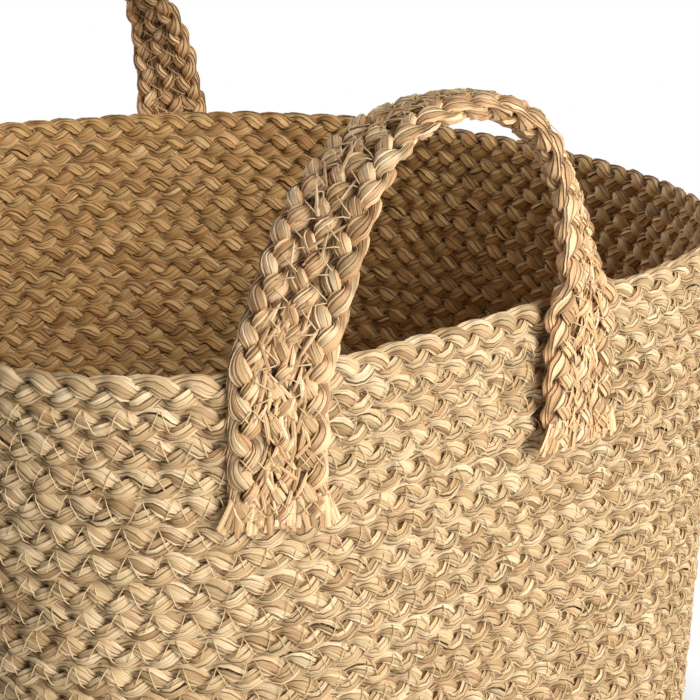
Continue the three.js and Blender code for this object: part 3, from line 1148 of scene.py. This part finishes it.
def seam_stitch(length, radius):
    """Two legs of a strap's zigzag seam, on both of its faces."""
    reach, high, low = 0.0037, 0.0046, 0.0030
    shares = [(-0.46, 1, low), (-0.40, 0.7, high), (-0.18, -0.7, high), (-0.12, -1, low)]
    shares += [(-0.02, -1, low), (0.06, -0.7, high), (0.40, 0.7, high), (0.49, 1, low)]
    outer = [(share * length, height * reach, lift) for share, height, lift in shares]
    inner = [(share * length, -height * reach, 0.0006 - lift) for share, height, lift in shares]
    return thread_sample([outer, inner], radius)


def foot_stitch(length, radius):
    """One crossing of the doubled zigzag that holds a strap's foot."""
    half, reach, high, low = length / 2, 0.0025, 0.0003, -0.0012
    fall = [(half, reach, low), (half * 0.8, reach * 0.7, high), (half * 0.2, -reach * 0.7, high)]
    one = [(-x, y, z) for x, y, z in fall] + [(0, -reach, low)] + fall[::-1]
    two = [(x * 0.97 + 0.0004, -y * 0.9, z + radius) for x, y, z in one]
    return thread_sample([one, two], radius)


class BASKET_OT_handles(bpy.types.Operator):
    """Lays each handle's three plaits side by side from foot to foot"""

    bl_idname = "basket.handles"
    bl_label = "Handle straps"

    def execute(self, context):
        settings = context.scene.basket_handle
        for label, side in HANDLES:
            strap = strap_guide(side)
            self.lay_plaits(settings, label, side, strap)
            self.sew_seams(settings, label, side, strap)
            length = guide_length(strap)
            sample = blade_sample("fibre", length=0.010, width=0.0010, droop=0.0012)
            values = {"Start": FIBRES_FROM_END, "End": length - FIBRES_FROM_END, **FIBRE_VALUES}
            bend(repeated(f"{label}_loose_fibres", strap, sample, "handle", values))
            starts = (LOOSE_BLADES_FROM_END, length - FOOT_LENGTH - LOOSE_BLADES_ABOVE_RIM)
            for end, (word, start) in enumerate(zip(FEET, starts)):
                sample = blade_sample("loose blade", length=0.0115, width=0.0013, droop=0.0016, tucked=True)
                finish = start + FOOT_LENGTH + LOOSE_BLADES_OVER_FOOT
                values = {"Start": start, "End": finish, "Seed": 9 + end, **LOOSE_BLADE_VALUES}
                bend(repeated(f"{label}_{word}_loose_blades", strap, sample, "handle", values))
                self.dress_foot(settings, f"{label}_{word}_foot", side, end)
        return {"FINISHED"}

    def lay_plaits(self, settings, label, side, strap):
        """The strap's three plaits, each in one piece from foot to foot."""
        for number in range(PLAITS_PER_HANDLE):
            # The strap's own across direction runs from its inner to its outer edge on both handles.
            across = (number - (PLAITS_PER_HANDLE - 1) / 2) * STRAP_PLAIT_PITCH * side
            guide = reversed_guide(beside(strap, across))
            values = plait_values(settings, guide, seed=61.0 + 9 * number + side) | STRAP_CHANGES
            values["Phase"] = PHASE_PER_PLAIT * number
            if number == 1:
                values |= MIDDLE_CHANGES
            piece = plaited(f"{label}_braid_{number + 1}", guide, "handle", values)
            bend(piece)
            feet = [f"{label}_{word}_foot_plait_{number + 1}" for word in FEET]
            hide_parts(f"{label}_plait_{number + 1}", *feet)

    def sew_seams(self, settings, label, side, strap):
        """The zigzag seams between the strap's plaits."""
        for seam in (1, 2):
            guide = beside(strap, (seam - PLAITS_PER_HANDLE / 2) * STRAP_PLAIT_PITCH * side)
            sample = seam_stitch(settings.stitch_length, settings.thread_width / 2)
            end = guide_length(guide) - FOOT_LENGTH + SEAM_BELOW_RIM
            values = {"Start": FOOT_LENGTH - SEAM_BELOW_RIM, "End": end, "Seed": seam, **SEAM_VALUES}
            values["Spacing"] = settings.stitch_length
            piece = repeated(f"{label}_seam_stitches_{seam}", guide, sample, "thread", values)
            bend(piece)
            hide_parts(f"{label}_seam_thread_{seam}")

    def dress_foot(self, settings, label, side, end):
        """The three stitch lines over a foot and its frayed, cut blade ends."""
        for line, depth in enumerate(FOOT_STITCH_DEPTHS, 1):
            guide = across_foot(side, end, depth, lift=0.0042, reach=0.0150)
            sample = foot_stitch(FOOT_STITCH_LENGTH, settings.thread_width / 2)
            values = {**FOOT_STITCH_VALUES, "Seed": line}
            piece = repeated(f"{label}_stitches_{line}", guide, sample, "thread", values)
            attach(piece, "basket")
            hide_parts(f"{label}_stitch_line_{line}")
        guide = across_foot(side, end, CUT_END_DEPTH, lift=0.0016, reach=0.0168, fan=0.26)
        sample = blade_sample("cut end", length=0.0106, width=0.0018, droop=0.0014, taper=0.12)
        piece = repeated(f"{label}_cut_ends", guide, sample, "handle", {**CUT_END_VALUES, "Seed": 3 + end})
        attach(piece, "basket")


# The stage.

WORLD_STRENGTH = 0.18
LAMP_AIM = (0, 0, 0.15)
LAMPS = (
    ("high key from the front", (1.0, -2.08, 1.3), 1.3, 35),
    ("soft light from behind", (-0.9, 2.2, 1.2), 1.6, 34),
    ("low key from the front", (0.5, -2.2, 0.55), 1.6, 43),
)
CAMERA_AZIMUTH = math.radians(-25.85)
CAMERA_ELEVATION = math.radians(16.57)
CAMERA_DISTANCE = 0.855
CAMERA_TARGET = (-0.0355, -0.2165, 0.2544)
SENSOR_WIDTH_MM = 36.0


def white_world():
    """Plain light from all round, and a white background for the camera alone."""
    world = bpy.data.worlds.new("plain studio light")
    world.use_nodes = True
    world.node_tree.nodes.clear()
    m = Maker(world.node_tree)
    seen = m.add("ShaderNodeLightPath", {}, {}, "Is Camera Ray")
    light = m.add("ShaderNodeBackground", {}, {"Color": WHITE, "Strength": WORLD_STRENGTH}, "Background")
    backdrop = m.add("ShaderNodeBackground", {}, {"Color": WHITE, "Strength": 1.0}, "Background")
    both = m.add("ShaderNodeMixShader", {}, {0: seen, 1: light, 2: backdrop}, "Shader")
    m.add("ShaderNodeOutputWorld", {}, {"Surface": both}, "node")
    bpy.context.scene.world = world


def floor_material(colour):
    """A pale floor that turns plain white away from the basket, for the camera alone."""
    material, m = new_material("plain pale floor")
    place = m.add("ShaderNodeNewGeometry", {}, {}, "Position")
    away = m.add("ShaderNodeVectorMath", {"operation": "LENGTH"}, {0: place}, "Value")
    far = m.clamp((away / FLOOR_SHADOW_REACH - 1.0) * 4.0)
    seen = m.add("ShaderNodeLightPath", {}, {}, "Is Camera Ray")
    plain = m.add("ShaderNodeBsdfPrincipled", {}, {"Base Color": (*colour, 1), "Roughness": 0.8}, "BSDF")
    white = m.add("ShaderNodeEmission", {}, {"Color": WHITE, "Strength": 1.0}, "Emission")
    both = m.add("ShaderNodeMixShader", {}, {0: far * seen, 1: plain, 2: white}, "Shader")
    return end_material(material, m, both)


def add_floor(colour):
    reach = FLOOR_REACH
    corners = [(-reach, -reach, 0), (reach, -reach, 0), (reach, reach, 0), (-reach, reach, 0)]
    floor = mesh_object("floor", corners, [], [(0, 1, 2, 3)])
    floor.data.materials.append(floor_material(colour))


def add_lamp(name, place, size, power):
    light = bpy.data.lights.new(name, "AREA")
    light.shape = "DISK"
    light.size = size
    light.energy = power
    lamp = new_object(name, light)
    lamp.location = place
    lamp.rotation_euler = (Vector(LAMP_AIM) - Vector(place)).to_track_quat("-Z", "Y").to_euler()


def add_camera(lens):
    level = math.cos(CAMERA_ELEVATION)
    x, y = math.sin(CAMERA_AZIMUTH) * level, -math.cos(CAMERA_AZIMUTH) * level
    back = Vector((x, y, math.sin(CAMERA_ELEVATION)))
    lens_data = bpy.data.cameras.new("camera")
    lens_data.lens = lens
    lens_data.sensor_width = SENSOR_WIDTH_MM
    lens_data.sensor_fit = "HORIZONTAL"
    camera = new_object("camera", lens_data)
    camera.location = Vector(CAMERA_TARGET) + back * CAMERA_DISTANCE
    camera.rotation_euler = (-back).to_track_quat("-Z", "Y").to_euler()
    bpy.context.scene.camera = camera


class BASKET_OT_stage(bpy.types.Operator):
    """Adds the floor, the light and the camera"""

    bl_idname = "basket.stage"
    bl_label = "Floor, light and camera"

    def execute(self, context):
        settings = context.scene.basket_stage
        context.scene.view_settings.view_transform = "Standard"
        white_world()
        add_floor(settings.floor_colour)
        for lamp in LAMPS:
            add_lamp(*lamp)
        add_camera(settings.lens)
        return {"FINISHED"}


class BASKET_PT_panel(bpy.types.Panel):
    """Lists the steps that build the basket"""

    bl_label = "Plaited basket"
    bl_idname = "BASKET_PT_panel"
    bl_space_type = "VIEW_3D"
    bl_region_type = "UI"
    bl_category = "Basket"

    def draw(self, context):
        for settings in (context.scene.basket_body, context.scene.basket_handle, context.scene.basket_stage):
            box = self.layout.box()
            for name in settings.bl_rna.properties.keys():
                if name not in ("rna_type", "name"):
                    box.prop(settings, name)
        for step in STEPS:
            self.layout.operator(step.bl_idname)


STEPS = (BASKET_OT_stage, BASKET_OT_wall, BASKET_OT_base, BASKET_OT_handles)
CLASSES = (BasketBodySettings, BasketHandleSettings, BasketStageSettings, *STEPS, BASKET_PT_panel)


def register():
    for cls in CLASSES:
        bpy.utils.register_class(cls)
    bpy.types.Scene.basket_body = bpy.props.PointerProperty(type=BasketBodySettings)
    bpy.types.Scene.basket_handle = bpy.props.PointerProperty(type=BasketHandleSettings)
    bpy.types.Scene.basket_stage = bpy.props.PointerProperty(type=BasketStageSettings)


def unregister():
    del bpy.types.Scene.basket_stage
    del bpy.types.Scene.basket_handle
    del bpy.types.Scene.basket_body
    for cls in reversed(CLASSES):
        bpy.utils.unregister_class(cls)


def main():
    register()
    bpy.ops.basket.stage()
    bpy.ops.basket.wall()
    bpy.ops.basket.base()
    bpy.ops.basket.handles()


if __name__ == "__main__":
    main()
